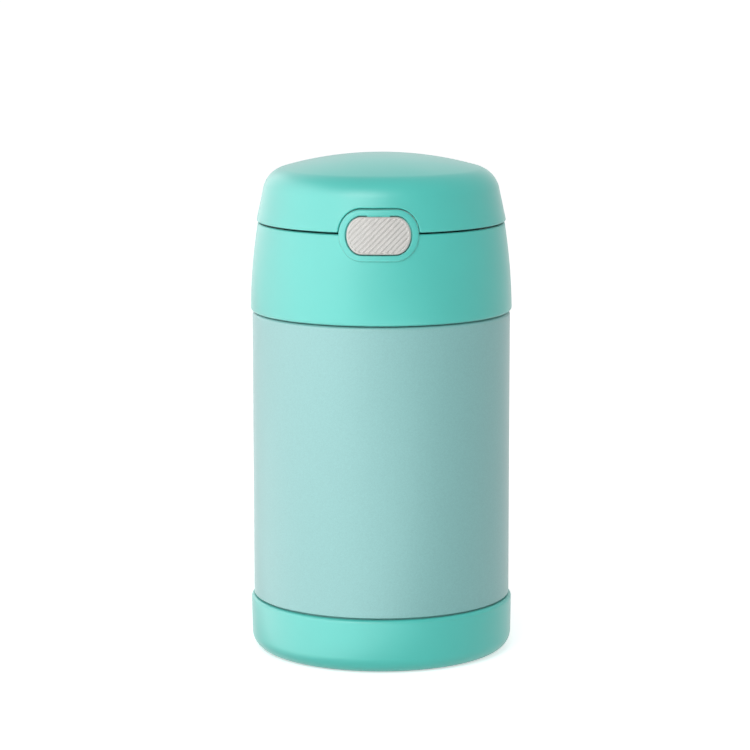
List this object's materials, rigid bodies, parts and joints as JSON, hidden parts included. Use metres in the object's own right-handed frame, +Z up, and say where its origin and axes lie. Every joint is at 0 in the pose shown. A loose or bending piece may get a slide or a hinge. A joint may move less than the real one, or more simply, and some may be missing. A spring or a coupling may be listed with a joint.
{
  "type": "insulated food jar",
  "caption": "Vacuum-insulated steel food jar with a screw-on stopper lid, a push-button flip cover and a folding spoon in the lid.",
  "frame": {"origin": "centre of the foot, on the surface that the jar stands on", "axes": "+Z up along the jar's axis; the push button faces -Y and the cover's hinge is at +Y"},
  "size_m": [0.0908, 0.0908, 0.1726],
  "materials": {
    "mint_plastic": "satin moulded polypropylene",
    "mint_paint": "pearl satin powder coat on steel",
    "bare_steel": "satin stainless steel",
    "spring_steel": "bright drawn wire",
    "grey_plastic": "satin, ribbed on the button",
    "white_silicone": "matt silicone",
    "foam": "rigid insulating foam"
  },
  "bodies": {
    "jar": {"base_cup": "mint_plastic", "outer_shell": "mint_paint", "inner_liner": "bare_steel", "shell_bottom": "bare_steel", "getter": "bare_steel"},
    "gasket_ring": {"mouth_gasket": "white_silicone"},
    "lid": {"collar": "mint_plastic", "stopper_body": "mint_plastic", "stopper_foam": "foam", "stopper_cap": "mint_plastic", "hinge_pin": "bare_steel", "hinge_spring": "spring_steel", "button_springs": "spring_steel", "spoon_bowl": "bare_steel", "spoon_handle": "bare_steel", "spoon_rivet": "bare_steel"},
    "flip_cover": {"cover_dome": "mint_plastic", "cover_liner": "mint_plastic"},
    "button": {"push_button": "grey_plastic", "latch_slide": "mint_plastic"}
  },
  "joints": [
    {"name": "lid_lift", "type": "slide", "parent": "jar", "child": "gasket_ring", "axis": [0, 0, 1], "range_m": [0, 0.01]},
    {"name": "lid_turn", "type": "hinge", "parent": "gasket_ring", "child": "lid", "pos_m": [0, 0, 0.116], "axis": [0, 0, 1], "range_deg": [0, 450]},
    {"name": "cover_hinge", "type": "hinge", "parent": "lid", "child": "flip_cover", "pos_m": [0, 0.0422, 0.1495], "axis": [-1, 0, 0], "range_deg": [0, 105], "deforming": ["hinge_spring"]},
    {"name": "button_press", "type": "slide", "parent": "lid", "child": "button", "axis": [0, 1, 0], "range_m": [0, 0.0018], "stiffness_N_per_m": 800, "springref_m": -0.001, "deforming": ["button_springs"]}
  ],
  "couplings": [
    {"joint": "lid_lift", "follows": "lid_turn", "m_per_rad": 0.001273}
  ]
}
